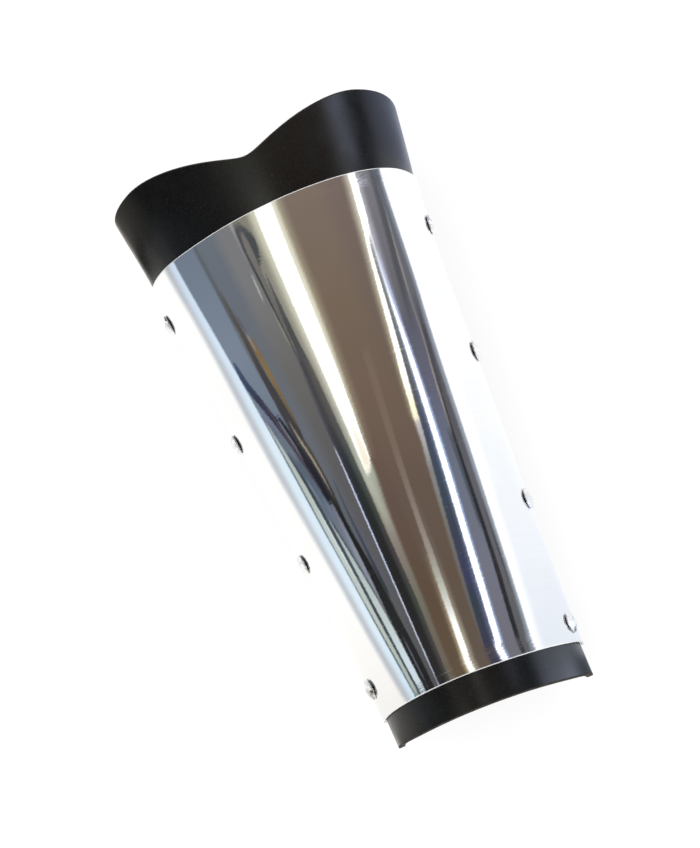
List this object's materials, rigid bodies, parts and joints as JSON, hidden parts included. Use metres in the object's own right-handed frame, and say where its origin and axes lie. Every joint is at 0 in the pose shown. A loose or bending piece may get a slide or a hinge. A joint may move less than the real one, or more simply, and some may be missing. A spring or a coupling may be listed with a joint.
{
  "type": "leather gauntlet",
  "caption": "Forearm gauntlet: a tapered black leather sleeve with a two-lobed elbow edge and a mirror-polished metal plate riveted over its front.",
  "frame": {"origin": "under the middle of the bounding box, on the surface that the gauntlet lies on", "axes": "+Y along the forearm towards the elbow, -Y towards the hand, +Z out of the plate's crown, +X to the right as seen with the plate towards the viewer and the elbow end up"},
  "size_m": [0.1249, 0.25, 0.0985],
  "materials": {
    "black_leather": "smooth, semi-gloss black, with a plain suede inside",
    "polished_sheet": "mirror polished, with fine scratches across",
    "polished_rivet": "polished domed caps"
  },
  "bodies": {
    "root": {"leather_base": "black_leather", "metal_plate": "polished_sheet", "rivet_right_1": "polished_rivet", "rivet_right_2": "polished_rivet", "rivet_right_3": "polished_rivet", "rivet_right_4": "polished_rivet", "rivet_left_1": "polished_rivet", "rivet_left_2": "polished_rivet", "rivet_left_3": "polished_rivet", "rivet_left_4": "polished_rivet", "strap_elbow": "black_leather", "strap_wrist": "black_leather", "stud_elbow_right": "polished_rivet", "stud_elbow_left": "polished_rivet", "stud_wrist_right": "polished_rivet", "stud_wrist_left": "polished_rivet"}
  },
  "joints": []
}
